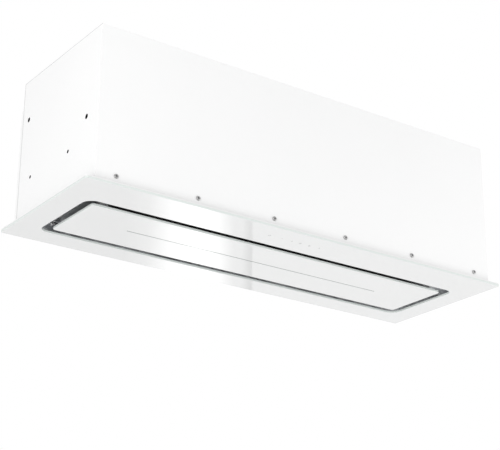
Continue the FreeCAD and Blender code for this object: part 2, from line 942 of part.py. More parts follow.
def make_outlet_box():
    """Box between the blower's neck and the top plate, open at the top, flanged."""
    y0 = outlet_y - outlet_box_half
    y1 = outlet_y + outlet_box_half
    outer = box(-cheek_outside, cheek_outside, y0, y1, outlet_box_under, roof_under)
    flange_far = rear_face - fold - outlet_fold_gap
    flange = box(-cheek_outside - outlet_box_flange, cheek_outside + outlet_box_flange,
                 y0 - outlet_box_flange, flange_far, roof_under - scroll_sheet, roof_under)
    inner = box(scroll_sheet - cheek_outside, cheek_outside - scroll_sheet, y0 + scroll_sheet,
                y1 - scroll_sheet, outlet_box_under + scroll_sheet, roof_under + 1)
    neck = box(-casing_half, casing_half, neck_left, neck_right(), outlet_box_under - 1, roof_under)
    shape = join([outer, flange]).cut([inner, neck])
    drill = [rod(screw_hole, 3 * scroll_sheet, Vector(x, y, roof_under - 2 * scroll_sheet), Z)
             for x, y in outlet_screw_points()]
    return shape.cut(drill)


def make_outlet_collar():
    """Flanged tube for a round duct, with a stop ring inside under the flaps."""
    foot = hood_height
    wall = rod(outlet_radius, outlet_tube_height, Vector(0, outlet_y, foot), Z)
    flange = rod(outlet_flange_radius, outlet_flange_sheet, Vector(0, outlet_y, foot), Z)
    collar = join([wall, flange])
    collar = collar.cut(rod(tube_inside, outlet_tube_height + 2, Vector(0, outlet_y, foot - 1), Z))
    stop_top = flap_pin_z - flap_sheet / 2 - stop_gap
    stop = tube(tube_inside, tube_inside - stop_width, stop_height,
                Vector(0, outlet_y, stop_top - stop_height), Z)
    pin_start = Vector(-outlet_radius - 1, outlet_y, flap_pin_z)
    pin_hole = rod(flap_pin_radius, 2 * outlet_radius + 2, pin_start, X)
    screws = [rod(screw_hole, 3 * outlet_flange_sheet, Vector(x, y, foot - 1), Z)
              for x, y in outlet_screw_points()]
    return join([collar, stop]).cut([pin_hole] + screws)


def make_flap_pin():
    half = outlet_radius - outlet_tube_sheet / 2
    return rod(flap_pin_radius, 2 * half, Vector(-half, outlet_y, flap_pin_z), X)


def make_flap(side, knuckles):
    """Half disc on one side of the pin (side is -1 or +1 along Y), with its knuckles."""
    low = flap_pin_z - flap_sheet / 2
    disc = rod(tube_inside - flap_clearance, flap_sheet, Vector(0, outlet_y, low), Z)
    span = outlet_radius + 1
    y0, y1 = sorted((outlet_y + side * flap_hinge_gap, outlet_y + side * span))
    leaf = disc.common(box(-span, span, y0, y1, low - 1, low + flap_sheet + 1))
    pieces = [leaf]
    w0, w1 = sorted((outlet_y, outlet_y + side * (flap_hinge_gap + 1)))
    for x in knuckles:
        start = x - flap_knuckle_width / 2
        pieces.append(box(start, start + flap_knuckle_width, w0, w1, low, low + flap_sheet))
        pieces.append(rod(flap_knuckle_radius, flap_knuckle_width, Vector(start, outlet_y, flap_pin_z), X))
    bore = rod(flap_pin_radius + flap_running_clearance, 2 * span, Vector(-span, outlet_y, flap_pin_z), X)
    return join(pieces).cut(bore)


# ---------------------------------------------------------------- supply and controls


def make_cable_gland():
    """Hexagon on the top plate, a domed nut above it and a thread into the terminal box."""
    corners = [Vector(gland_x + gland_hex_radius * math.cos(math.radians(60 * i)),
                      gland_y + gland_hex_radius * math.sin(math.radians(60 * i)), hood_height)
               for i in range(7)]
    hexagon = Part.Face(Part.makePolygon(corners)).extrude(Z * gland_hex_height)
    top = hood_height + gland_hex_height
    dome = rod(gland_dome_radius, gland_dome_height, Vector(gland_x, gland_y, top), Z)
    rim = [e for e in dome.Edges if e.BoundBox.ZMin > top + gland_dome_height - 0.01]
    dome = dome.makeFillet(gland_dome_radius * 0.3, rim)
    thread_foot = hood_height - gland_thread_length
    thread = rod(gland_thread_radius, gland_thread_length, Vector(gland_x, gland_y, thread_foot), Z)
    bore = rod(gland_bore_radius, gland_length() + 2, Vector(gland_x, gland_y, thread_foot - 1), Z)
    return join([hexagon, dome, thread]).cut(bore)


def gland_length():
    return gland_thread_length + gland_hex_height + gland_dome_height


def make_terminal_box():
    foot = roof_under - terminal_height
    outer = block(gland_x, gland_y, terminal_length, terminal_depth, foot, roof_under)
    inner = block(gland_x, gland_y, terminal_length - 2 * terminal_wall,
                  terminal_depth - 2 * terminal_wall, foot - 1, roof_under - terminal_wall)
    way_in = rod(gland_thread_radius + gland_clearance, 3 * terminal_wall,
                 Vector(gland_x, gland_y, roof_under - 2 * terminal_wall), Z)
    return outer.cut([inner, way_in])


def make_terminal_box_cover():
    foot = roof_under - terminal_height
    return block(gland_x, gland_y, terminal_length, terminal_depth, foot - terminal_wall, foot)


def make_run_capacitor():
    foot = roof_under - capacitor_height
    can = rod(capacitor_radius, capacitor_height, Vector(capacitor_x, capacitor_y, foot), Z)
    rim = [e for e in can.Edges if e.BoundBox.ZMax < foot + 0.01]
    return can.makeFillet(clip_sheet, rim)


def make_capacitor_clip():
    """Band round the can with a strap up to a foot on the top plate."""
    low = roof_under - clip_drop - clip_height
    outer = capacitor_radius + clip_sheet
    band = rod(outer, clip_height, Vector(capacitor_x, capacitor_y, low), Z)
    edge = capacitor_y + outer
    strap = box(capacitor_x - clip_height / 2, capacitor_x + clip_height / 2,
                edge - clip_sheet, edge, low, roof_under)
    foot = box(capacitor_x - clip_height / 2, capacitor_x + clip_height / 2,
               edge - clip_sheet, edge + clip_foot, roof_under - clip_sheet, roof_under)
    can_foot = Vector(capacitor_x, capacitor_y, roof_under - capacitor_height)
    return join([band, strap, foot]).cut(rod(capacitor_radius, capacitor_height, can_foot, Z))


def make_touch_board():
    return block(key_row_x, key_row_y, touch_length, touch_depth, glass, glass + touch_board_thickness)


def make_control_housing():
    top = frame_top + control_height
    outer = block(key_row_x, key_row_y, control_length, control_depth, frame_top, top)
    inner = block(key_row_x, key_row_y, control_length - 2 * control_wall,
                  control_depth - 2 * control_wall, 0, top - control_wall)
    return outer.cut(inner)


def make_led_driver():
    body = block(driver_x, driver_y, driver_length, driver_depth, deck_top, deck_top + driver_height)
    upright = [e for e in body.Edges if abs(e.Vertexes[0].Z - e.Vertexes[-1].Z) > driver_height / 2]
    return body.makeFillet(driver_corner, upright)


# ---------------------------------------------------------------- writing the parts


def save_frame_and_housing():
    save("frame_glass", make_frame_glass())
    save("frame_carrier", make_frame_carrier())
    save("suction_tray", make_suction_tray())
    save("front_wall", make_long_wall(front_face, 1))
    save("rear_wall", make_rear_wall())
    end_wall = make_left_end_wall()
    save("left_end_wall", end_wall)
    save("right_end_wall", mirror_x(end_wall))
    save("top_plate", make_top_plate())
    save("front_wall_screws", *make_wall_screws(front_face, -1))
    save("rear_wall_screws", *make_wall_screws(rear_face, 1))
    save("top_plate_screws", *make_top_plate_screws())
    rail = make_left_rear_rail()
    save("rear_rail_left", rail)
    save("rear_rail_right", mirror_x(rail))
    channel = make_right_hanger_channel()
    save("hanger_channel_right", channel)
    save("hanger_channel_left", mirror_x(channel))
    save("hanger_nuts", *make_hanger_nuts())


def save_panel():
    save("panel_glass", make_panel_glass())
    save("panel_tray", make_panel_tray())
    save("led_channel", make_led_channel())
    save("led_board", make_led_board())
    save("led_diffuser", make_led_diffuser())
    leaf = make_left_hinge_leaf()
    save("hinge_leaf_left", leaf)
    save("hinge_leaf_right", mirror_x(leaf))
    bracket = make_left_hinge_bracket()
    save("hinge_bracket_left", bracket)
    save("hinge_bracket_right", mirror_x(bracket))
    pin = make_left_hinge_pin()
    save("hinge_pins", pin, mirror_x(pin))
    save("catch_magnets", *make_catch_magnets())
    save("catch_plates", *make_catch_plates())


def save_filters():
    frame = make_filter_frame()
    mesh = make_filter_mesh()
    latch = make_filter_latch()
    spring = make_latch_spring()
    for side, x in (("left", -filter_centre), ("right", filter_centre)):
        save("filter_frame_" + side, shifted(frame, x))
        save("filter_mesh_" + side, *[shifted(layer, x) for layer in mesh])
        save("filter_latch_" + side, shifted(latch, x))
        save("latch_spring_" + side, shifted(spring, x))


def save_blower():
    save("scroll_wrap", make_scroll_wrap())
    cheek = make_left_scroll_cheek()
    save("scroll_cheek_left", cheek)
    save("scroll_cheek_right", mirror_x(cheek))
    ring = make_left_inlet_ring()
    save("inlet_ring_left", ring)
    save("inlet_ring_right", mirror_x(ring))
    save("impeller", make_impeller())
    save("motor_shaft", make_motor_shaft())
    save("motor_housing", make_motor_housing())
    save("motor_bracket", make_motor_bracket())
    save("motor_bushes", *make_motor_bushes())


def save_outlet():
    save("outlet_box", make_outlet_box())
    save("outlet_collar", make_outlet_collar())
    save("flap_pin", make_flap_pin())
    save("flap_front", make_flap(-1, front_knuckles))
    save("flap_rear", make_flap(1, rear_knuckles))


def save_supply():
    save("cable_gland", make_cable_gland())
    save("terminal_box", make_terminal_box())
    save("terminal_box_cover", make_terminal_box_cover())
    save("run_capacitor", make_run_capacitor())
    save("capacitor_clip", make_capacitor_clip())
    save("touch_board", make_touch_board())
    save("control_housing", make_control_housing())
    save("led_driver", make_led_driver())


os.makedirs("parts", exist_ok=True)
save_frame_and_housing()
save_panel()
save_filters()
save_blower()
save_outlet()
save_supply()
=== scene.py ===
import json
import math

import bmesh
import bpy
from mathutils import Matrix, Vector


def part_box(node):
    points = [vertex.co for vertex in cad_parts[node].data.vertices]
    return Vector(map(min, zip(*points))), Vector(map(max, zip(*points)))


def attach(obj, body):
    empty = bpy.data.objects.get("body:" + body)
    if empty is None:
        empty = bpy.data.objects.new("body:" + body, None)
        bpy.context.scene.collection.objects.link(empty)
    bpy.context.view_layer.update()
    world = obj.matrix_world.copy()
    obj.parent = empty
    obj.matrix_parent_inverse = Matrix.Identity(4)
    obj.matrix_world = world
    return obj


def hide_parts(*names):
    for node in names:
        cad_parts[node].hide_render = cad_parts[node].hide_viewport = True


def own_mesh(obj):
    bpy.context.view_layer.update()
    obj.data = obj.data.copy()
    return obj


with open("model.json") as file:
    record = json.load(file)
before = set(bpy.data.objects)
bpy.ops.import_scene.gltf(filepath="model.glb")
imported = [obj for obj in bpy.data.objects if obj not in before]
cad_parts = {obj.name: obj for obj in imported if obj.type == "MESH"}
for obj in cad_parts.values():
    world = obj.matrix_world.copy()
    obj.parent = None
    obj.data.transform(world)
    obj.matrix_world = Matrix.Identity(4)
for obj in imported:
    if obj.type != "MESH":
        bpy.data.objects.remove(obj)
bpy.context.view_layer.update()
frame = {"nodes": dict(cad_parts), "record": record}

# Recessed ceiling hood: white sheet-metal housing, glass face frame, hinged glass panel.
# Metres, in the frame's own axes: X along the hood, Z up, the glass underside at z = 0.

MM = 0.001
SHARP = math.radians(25)
ROUNDED = math.radians(50)

# ---------------------------------------------------------------- sizes of what is added here

# The glass, and the housing with its sheet
glass_thickness = 4.0 * MM
glass_arris = 0.03 * MM
outer_edge_side = 445.0 * MM
outer_edge_front = 146.0 * MM
carrier_top = 6.0 * MM
housing_side = 429.0 * MM
housing_front = -142.2 * MM
housing_rear = 135.8 * MM
housing_top = 285.0 * MM
half_sheet = 0.5 * MM
rim_top = 1.2 * MM
rim_rear = 2.2 * MM
rim_depth = 0.2 * MM
# Height where the painted shade along the foot of the walls fades out
foot_shade_top = 24.0 * MM

# The wall screws
wall_screw_end = 391.75 * MM
wall_screw_pitch = 156.7 * MM
wall_screw_height = 19.3 * MM
screw_head_top = 2.2 * MM
recess_start = 0.15 * MM
recess_reach = 2.35 * MM

# Rounding of the folded and cut edges, by finish
merge_distance = 0.001 * MM
flat_angle = math.radians(0.5)
rounding_steps = 2
edge_rounding = {
    "white_enamel": 0.30 * MM,
    "zinc_sheet": 0.25 * MM,
    "bright_steel": 0.20 * MM,
    "filter_aluminium": 0.25 * MM,
    "grey_plastic": 0.60 * MM,
    "white_plastic": 0.60 * MM,
    "black_plastic": 0.35 * MM,
    "board": 0.15 * MM,
}

# Touch-key marks on the glass, along X from the middle of the face frame
key_places = (-67.0, -39.0, -18.3, -0.2, 20.3, 41.6)
key_y = -113.0 * MM
key_radius = 1.9 * MM
key_line = 0.5 * MM
key_depth = 0.3 * MM
key_proud = 0.02 * MM
key_ring_steps = 28
power_gap = math.radians(70)
lamp_rays = 8
boost_bars = 3

# Expanded mesh of the grease filters
strand_width = 1.1 * MM
strand_thickness = 0.8 * MM
diamond_length = 11.0 * MM
diamond_width = 6.0 * MM
latch_room = 3.5 * MM
latch_bed = 24.0 * MM
cut_tolerance = 0.0001 * MM

# Springs behind the filter latches
spring_wire = 0.6 * MM
spring_turns = 10
spring_turn_steps = 16
spring_wire_sides = 8

# ---------------------------------------------------------------- finishes


class Field:
    """A value that changes over a surface. Arithmetic on it adds Math nodes to its tree."""

    def __init__(self, tree, socket):
        self.tree = tree
        self.socket = socket

    def __add__(self, other):
        return self.tree.math("ADD", self, other)

    def __sub__(self, other):
        return self.tree.math("SUBTRACT", self, other)

    def __rsub__(self, other):
        return self.tree.math("SUBTRACT", other, self)

    def __mul__(self, other):
        return self.tree.math("MULTIPLY", self, other)

    def above(self, level):
        return self.tree.math("GREATER_THAN", self, level)

    def below(self, level):
        return self.tree.math("LESS_THAN", self, level)


class Tree:
    """The node tree of a material or a world, to which nodes are added one by one."""

    def __init__(self, owner):
        owner.use_nodes = True
        self.nodes = owner.node_tree.nodes
        self.links = owner.node_tree.links

    def add(self, kind, settings=None, inputs=None, output=0):
        """Any node: its settings first, then the values or links of its sockets."""
        node = self.nodes.new(kind)
        for name, value in (settings or {}).items():
            if name == "stops":
                self.set_stops(node.color_ramp.elements, value)
            else:
                setattr(node, name, value)
        for name, value in (inputs or {}).items():
            self.feed(node.inputs[name], value)
        return Field(self, node.outputs[output])

    def set_stops(self, elements, stops):
        """Levels of grey along a ramp."""
        while len(elements) < len(stops):
            elements.new(0.5)
        for element, (position, level) in zip(elements, stops):
            element.position = position
            element.color = (level, level, level, 1.0)

    def feed(self, socket, value):
        """A link from a field, or a plain value."""
        if isinstance(value, Field):
            self.links.new(value.socket, socket)
        else:
            socket.default_value = value

    def math(self, operation, *values):
        """A Math node over fields and numbers."""
        return self.add("ShaderNodeMath", {"operation": operation}, dict(enumerate(values)))


class Finish(Tree):
    """A material being built: its Principled shader and the nodes that feed it."""

    def __init__(self, name):
        self.material = bpy.data.materials.new(name)
        super().__init__(self.material)
        self.shader = self.nodes["Principled BSDF"]
        self.surface = self.nodes["Material Output"].inputs["Surface"]

    def set(self, **values):
        """Sockets of the shader, by their names with the spaces left out."""
        for socket in self.shader.inputs:
            name = socket.name.replace(" ", "_").lower()
            if name in values:
                self.feed(socket, values[name])

    def place(self, stretch=(1.0, 1.0, 1.0)):
        """Object coordinates, squeezed by stretch."""
        coordinates = self.add("ShaderNodeTexCoord", output="Object")
        return self.add("ShaderNodeMapping", inputs={"Vector": coordinates, "Scale": stretch})

    def axes(self):
        """X, Y and Z of a place on the piece."""
        inputs = {0: self.add("ShaderNodeTexCoord", output="Object")}
        return [self.add("ShaderNodeSeparateXYZ", inputs=inputs, output=axis) for axis in range(3)]

    def noise(self, scale, detail=2.0, stretch=(1.0, 1.0, 1.0)):
        """Soft random waves, drawn out along the axes whose stretch is small."""
        inputs = {"Vector": self.place(stretch), "Scale": scale, "Detail": detail}
        return self.add("ShaderNodeTexNoise", inputs=inputs)

    def cells(self, scale):
        """Random patches, each of one colour."""
        inputs = {"Vector": self.place(), "Scale": scale}
        return self.add("ShaderNodeTexVoronoi", inputs=inputs, output="Color")

    def carry(self, value, start, end, low, high):
        """Low at the start and below it, high at the end and above it, and even between."""
        inputs = {"Value": value, "From Min": start, "From Max": end, "To Min": low, "To Max": high}
        return self.add("ShaderNodeMapRange", {"clamp": True}, inputs)

    def spread(self, value, low, high):
        """The middle half of a noise's range, spread between low and high."""
        return self.carry(value, 0.25, 0.75, low, high)

    def blend(self, factor, first, second):
        """A colour between two colours."""
        settings = {"data_type": "RGBA"}
        return self.add("ShaderNodeMix", settings, {0: factor, 6: first, 7: second}, output=2)

    def bump(self, height, distance):
        """Normals of a relief whose height of 1 stands the distance high."""
        return self.add("ShaderNodeBump", inputs={"Height": height, "Distance": distance})


def grey(level, warmth=0.0):
    """An opaque grey, a little warmer or cooler."""
    return (level * (1 + warmth), level, level * (1 - warmth), 1.0)


def white_glass():
    """Clear glass painted white behind: white from below, grey-green at its cut edges, with painted
    shade darkening the outer cut edges.
    """
    finish = Finish("white_glass")
    x, y, z = finish.axes()
    cut_edge = z.above(glass_arris) * z.below(glass_thickness - glass_arris)
    drift = finish.spread(finish.noise(6.0), 0.0, 1.0)
    paint = finish.blend(drift, (0.856, 0.861, 0.859, 1.0), (0.868, 0.872, 0.870, 1.0))
    streaks = finish.spread(finish.noise(900.0, 2.0, (1.0, 1.0, 0.2)), 0.0, 1.0)
    # Painted shade: the outer cut edges of the frame are coloured darker than those of the opening.
    outer = finish.math("MAXIMUM", finish.math("ABSOLUTE", x).above(outer_edge_side),
                        finish.math("ABSOLUTE", y).above(outer_edge_front))
    bright_cut = finish.blend(streaks, (0.78, 0.83, 0.81, 1.0), (0.86, 0.89, 0.87, 1.0))
    painted_shade_cut = finish.blend(streaks, (0.70, 0.75, 0.73, 1.0), (0.77, 0.81, 0.79, 1.0))
    cut = finish.blend(outer, bright_cut, painted_shade_cut)
    smear = finish.spread(finish.noise(28.0, 4.0), 0.015, 0.05)
    finish.set(
        base_color=finish.blend(cut_edge, paint, cut),
        roughness=smear + cut_edge * 0.12,
        normal=finish.bump(finish.noise(9.0, 1.0), 0.00004),
        ior=1.52,
    )
    return finish.material


def white_enamel():
    """Satin coat with a faint orange peel outside; painted shade along the foot of the walls, dark
    grey painted shade inside, and darker along the end walls' top and rear edges.
    """
    finish = Finish("white_enamel")
    x, y, z = finish.axes()
    side = finish.math("ABSOLUTE", x)
    # Painted shade: inside the housing the sheet is coloured dark grey.
    inside = side.below(housing_side - half_sheet) * z.below(housing_top - half_sheet)
    inside = inside * z.above(carrier_top)
    inside = inside * y.above(housing_front + half_sheet) * y.below(housing_rear - half_sheet)
    # Darker along the top and rear edges of the end walls' outer faces.
    rim = finish.math("MAXIMUM", z.above(housing_top - rim_top), y.above(housing_rear - rim_rear))
    rim = rim * side.above(housing_side - rim_depth) * y.below(housing_rear + rim_depth)
    drift = finish.spread(finish.noise(5.0, 3.0), 0.0, 1.0)
    white = finish.blend(drift, (0.925, 0.927, 0.927, 1.0), (0.940, 0.941, 0.940, 1.0))
    # Painted shade: the walls darken towards their foot above the face frame, a painted contact
    # shadow.
    foot_shade = finish.carry(z, carrier_top, foot_shade_top, 0.60, 0.0)
    foot_shaded = finish.blend(foot_shade * (1 - rim), white, grey(0.78))
    toned = finish.blend(rim * 0.7, foot_shaded, (0.52, 0.53, 0.53, 1.0))
    painted_inside_shade = finish.blend(finish.spread(finish.noise(40.0, 4.0), 0.0, 1.0), grey(0.15), grey(0.20))
    peel = finish.noise(620.0, 2.0) + finish.noise(160.0, 1.0) * 0.5
    finish.set(
        base_color=finish.blend(inside, toned, painted_inside_shade),
        roughness=finish.spread(finish.noise(240.0, 2.0), 0.36, 0.46),
        normal=finish.bump(peel, 0.00003),
        ior=1.5,
    )
    return finish.material


def zinc_sheet():
    """Galvanised sheet with its frosty spangle."""
    finish = Finish("zinc_sheet")
    spangle = finish.add("ShaderNodeSeparateColor", inputs={0: finish.cells(95.0)})
    grain = finish.noise(700.0, 3.0, (0.15, 1.0, 1.0))
    tone = spangle * 0.6 + grain * 0.4
    finish.set(
        base_color=finish.blend(tone, (0.40, 0.41, 0.43, 1.0), (0.66, 0.67, 0.68, 1.0)),
        metallic=0.9,
        roughness=finish.spread(tone, 0.34, 0.52),
        normal=finish.bump(grain + spangle * 0.5, 0.00002),
    )
    return finish.material


def bright_steel():
    """Zinc-plated steel with fine turning and stamping marks."""
    finish = Finish("bright_steel")
    marks = finish.noise(2400.0, 2.0)
    film = finish.spread(finish.noise(320.0, 3.0), 0.0, 1.0)
    finish.set(
        base_color=finish.blend(film, (0.54, 0.54, 0.53, 1.0), (0.70, 0.70, 0.71, 1.0)),
        metallic=1.0,
        roughness=finish.spread(marks, 0.22, 0.38),
        normal=finish.bump(marks, 0.00001),
    )
    return finish.material


def wall_screw_steel():
    """The plated steel of the wall screws, with painted shade and dirt darkening their cross
    recesses.
    """
    finish = Finish("wall_screw_steel")
    x, y, z = finish.axes()
    along = finish.math("PINGPONG", x + wall_screw_end, wall_screw_pitch / 2)
    up = z - wall_screw_height
    near_axis = (along * along + up * up).below(recess_reach * recess_reach)
    outer = finish.math("MAXIMUM", housing_front - y, y - housing_rear)
    # Painted shade and dirt: the cross recesses are coloured near black.
    recess_shade_and_dirt = near_axis * outer.below(screw_head_top - recess_start)
    film = finish.spread(finish.noise(500.0, 3.0), 0.0, 1.0)
    plated = finish.blend(film, (0.34, 0.34, 0.34, 1.0), (0.46, 0.46, 0.46, 1.0))
    finish.set(
        base_color=finish.blend(recess_shade_and_dirt, plated, grey(0.04)),
        metallic=0.9,
        roughness=finish.spread(finish.noise(1800.0, 2.0), 0.30, 0.46),
        normal=finish.bump(finish.noise(2400.0, 2.0), 0.00001),
    )
    return finish.material


def filter_aluminium():
    """Rolled aluminium: fine lines along the hood."""
    finish = Finish("filter_aluminium")
    lines = finish.noise(1500.0, 3.0, (0.02, 1.0, 1.0))
    stain = finish.spread(finish.noise(45.0, 3.0), 0.0, 1.0)
    finish.set(
        base_color=finish.blend(stain, (0.64, 0.65, 0.66, 1.0), (0.76, 0.77, 0.78, 1.0)),
        metallic=1.0,
        roughness=finish.spread(lines, 0.28, 0.44),
        normal=finish.bump(lines, 0.00002),
    )
    return finish.material


def blower_sheet():
    """Dark dip coat on the blower's sheet, a little uneven."""
    finish = Finish("blower_sheet")
    runs = finish.noise(60.0, 3.0, (1.0, 1.0, 0.4))
    speckle = finish.noise(1800.0, 2.0)
    toned = finish.spread(runs, 0.0, 1.0)
    finish.set(
        base_color=finish.blend(toned, grey(0.022, -0.05), grey(0.042, -0.05)),
        metallic=0.3,
        roughness=finish.spread(speckle, 0.42, 0.60),
        normal=finish.bump(speckle + runs * 0.6, 0.00004),
    )
    return finish.material


def motor_enamel():
    """Semi-gloss enamel over a cast surface."""
    finish = Finish("motor_enamel")
    cast = finish.noise(420.0, 3.0)
    finish.set(
        base_color=finish.blend(finish.spread(cast, 0.0, 1.0), grey(0.012), grey(0.024)),
        roughness=finish.spread(finish.noise(90.0, 2.0), 0.30, 0.45),
        normal=finish.bump(cast, 0.00009),
    )
    return finish.material


def moulded(name, low, high, rough):
    """Moulded plastic with a spark-eroded grain."""
    finish = Finish(name)
    grain = finish.noise(1600.0, 2.0)
    flow = finish.spread(finish.noise(24.0, 3.0), 0.0, 1.0)
    finish.set(
        base_color=finish.blend(flow, low, high),
        roughness=finish.spread(grain, rough - 0.07, rough + 0.07),
        normal=finish.bump(grain, 0.00003),
    )
    return finish.material


def shaded_diffuser():
    """Opal strip with the fine lines of its extrusion, coloured dark grey-green as painted shade.
    """
    finish = Finish("diffuser")
    lines = finish.noise(2600.0, 2.0, (0.01, 1.0, 1.0))
    drawn = finish.spread(lines, 0.0, 1.0)
    finish.set(
        # Painted shade: the milky strip is coloured dark grey-green.
        base_color=finish.blend(drawn, (0.22, 0.25, 0.24, 1.0), (0.28, 0.31, 0.30, 1.0)),
        roughness=finish.spread(lines, 0.04, 0.08),
        normal=finish.bump(lines, 0.000004),
        ior=1.52,
    )
    return finish.material


def circuit_board():
    """Green solder mask with lighter tracks under it."""
    finish = Finish("board")
    tracks = finish.noise(260.0, 0.0, (1.0, 0.12, 1.0)).above(0.56)
    weave = finish.noise(3000.0, 1.0)
    finish.set(
        base_color=finish.blend(tracks, (0.010, 0.085, 0.035, 1.0), (0.030, 0.190, 0.080, 1.0)),
        roughness=finish.spread(weave, 0.22, 0.36),
        normal=finish.bump(tracks + weave * 0.1, 0.00003),
    )
    return finish.material


def soft_rubber():
    """Matt rubber with a dusty bloom."""
    finish = Finish("rubber")
    bloom = finish.noise(500.0, 3.0)
    finish.set(
        base_color=finish.blend(finish.spread(bloom, 0.0, 1.0), grey(0.018), grey(0.040)),
        roughness=finish.spread(bloom, 0.68, 0.86),
        normal=finish.bump(bloom, 0.00006),
    )
    return finish.material


finishes = {
    "white_glass": white_glass(),
    "white_enamel": white_enamel(),
    "zinc_sheet": zinc_sheet(),
    "bright_steel": bright_steel(),
    "filter_aluminium": filter_aluminium(),
    "blower_sheet": blower_sheet(),
    "motor_enamel": motor_enamel(),
    "white_plastic": moulded("white_plastic", grey(0.76, 0.01), grey(0.82, 0.01), 0.42),
    "grey_plastic": moulded("grey_plastic", grey(0.30), grey(0.36), 0.48),
    "black_plastic": moulded("black_plastic", grey(0.010), grey(0.018), 0.50),
    "diffuser": shaded_diffuser(),
    "board": circuit_board(),
    "rubber": soft_rubber(),
}
wall_screw_finish = wall_screw_steel()
key_print_finish = moulded("key_print", grey(0.12), grey(0.16), 0.55)

# ---------------------------------------------------------------- pieces


bodies = frame["record"]["behaviour"]["bodies"]
node_bodies = {node: body for body, nodes in bodies.items() for node in nodes}
node_slots = {node: piece.data.materials[0].name.split(".")[0]
              for node, piece in frame["nodes"].items()}


def add_piece(name, shape, slot, body, *stands_for, finish=None, crease=SHARP):
    """Turns a bmesh into a finished piece that rides on a body."""
    mesh = bpy.data.meshes.new(name)
    shape.to_mesh(mesh)
    shape.free()
    mesh.shade_smooth()
    mesh.set_sharp_from_angle(angle=crease)
    mesh.materials.append(finish or finishes[slot])
    piece = bpy.data.objects.new(name, mesh)
    bpy.context.scene.collection.objects.link(piece)
    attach(piece, body)
    if stands_for:
        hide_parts(*stands_for)
    return piece


def soften(node):
    """A copy of a node with its folded and cut edges rounded, which stands for the node."""
    slot = node_slots[node]
    shape = bmesh.new()
    shape.from_mesh(frame["nodes"][node].data)
    bmesh.ops.remove_doubles(shape, verts=shape.verts, dist=merge_distance)
    bmesh.ops.dissolve_limit(shape, angle_limit=flat_angle, verts=shape.verts, edges=shape.edges)
    corners = [edge for edge in shape.edges if edge.is_manifold and edge.calc_face_angle() > SHARP]
    bmesh.ops.bevel(shape, geom=corners, offset=edge_rounding[slot], offset_type="OFFSET",
                    segments=rounding_steps, profile=0.5, affect="EDGES", clamp_overlap=True,
                    material=-1)
    for face in shape.faces:
        face.material_index = 0
    piece = add_piece(node + "_finished", shape, slot, node_bodies[node], node, crease=ROUNDED)
    evened = piece.modifiers.new("even_shading", "WEIGHTED_NORMAL")
    evened.keep_sharp = True


softened = (
    "frame_carrier", "suction_tray", "front_wall", "rear_wall", "left_end_wall", "right_end_wall",
    "top_plate", "rear_rail_left", "rear_rail_right", "hanger_channel_left", "hanger_channel_right",
    "hinge_bracket_left", "hinge_bracket_right", "hinge_leaf_left", "hinge_leaf_right",
    "catch_magnets", "catch_plates", "filter_frame_left", "filter_frame_right",
    "filter_latch_left", "filter_latch_right", "panel_tray", "led_channel", "outlet_box",
    "outlet_collar", "flap_front", "flap_rear", "terminal_box", "terminal_box_cover",
    "control_housing", "led_driver", "touch_board", "led_board", "motor_bracket", "hanger_nuts",
)


# ---------------------------------------------------------------- touch-key marks


def bar(shape, x, y, length, width, turn=0.0):
    """A thin printed stroke, centred on (x, y)."""
    depth = key_depth + key_proud
    size = Matrix.Diagonal((length, width, depth, 1.0))
    place = Matrix.Translation((x, y, depth / 2 - key_proud)) @ Matrix.Rotation(turn, 4, "Z")
    bmesh.ops.create_cube(shape, size=1.0, matrix=place @ size)


def ring(shape, x, y, radius, width, start=0.0, sweep=2 * math.pi):
    """A thin printed ring or arc, spun from its section."""
    full = sweep >= 2 * math.pi
    depth = key_depth + key_proud
    section = bmesh.ops.create_circle(shape, cap_ends=not full, segments=4, radius=math.sqrt(0.5),
                                      matrix=Matrix.Rotation(math.radians(45), 4, "Z"))["verts"]
    across = Matrix.Rotation(start, 4, "Z") @ Matrix.Translation((radius, 0, depth / 2 - key_proud))
    stand = Matrix.Rotation(math.radians(90), 4, "X") @ Matrix.Diagonal((width, depth, 1.0, 1.0))
    bmesh.ops.transform(shape, matrix=Matrix.Translation((x, y, 0)) @ across @ stand, verts=section)
    edges = list({edge for vert in section for edge in vert.link_edges})
    faces = list({face for vert in section for face in vert.link_faces})
    bmesh.ops.spin(shape, geom=section + edges + faces, cent=(x, y, 0), axis=(0, 0, 1),
                   angle=sweep, steps=key_ring_steps, use_merge=full)


def key_marks():
    """Six small printed signs: on-off, less, more, lamp, timer and boost."""
    shape = bmesh.new()
    power, less, more, lamp, timer, boost = [x * MM for x in key_places]
    ring(shape, power, key_y, key_radius, key_line,
         math.radians(90) + power_gap / 2, 2 * math.pi - power_gap)
    bar(shape, power, key_y + key_radius * 0.75, key_line, key_radius * 1.1)
    bar(shape, less, key_y, 2 * key_radius, key_line)
    bar(shape, more, key_y, 2 * key_radius, key_line)
    bar(shape, more, key_y, key_line, 2 * key_radius)
    ring(shape, lamp, key_y, key_radius * 0.55, key_line)
    reach = key_radius * 1.15
    for i in range(lamp_rays):
        turn = i * 2 * math.pi / lamp_rays
        bar(shape, lamp + reach * math.cos(turn), key_y + reach * math.sin(turn),
            key_radius * 0.4, key_line, turn)
    ring(shape, timer, key_y, key_radius, key_line)
    bar(shape, timer, key_y + key_radius * 0.3, key_line, key_radius * 0.7)
    bar(shape, timer + key_radius * 0.25, key_y, key_radius * 0.6, key_line)
    for i in range(boost_bars):
        bar(shape, boost + (i - 1) * key_radius * 0.8, key_y,
            key_line, (0.8 + 0.6 * i) * key_radius)
    bmesh.ops.recalc_face_normals(shape, faces=shape.faces)
    add_piece("touch_key_marks", shape, "grey_plastic", "hood", finish=key_print_finish)


# ---------------------------------------------------------------- expanded filter mesh


def trim(shape, point, outward):
    """Cuts off what lies outward of the point."""
    geometry = shape.verts[:] + shape.edges[:] + shape.faces[:]
    bmesh.ops.bisect_plane(shape, geom=geometry, dist=cut_tolerance, plane_co=point,
                           plane_no=outward, clear_outer=True)


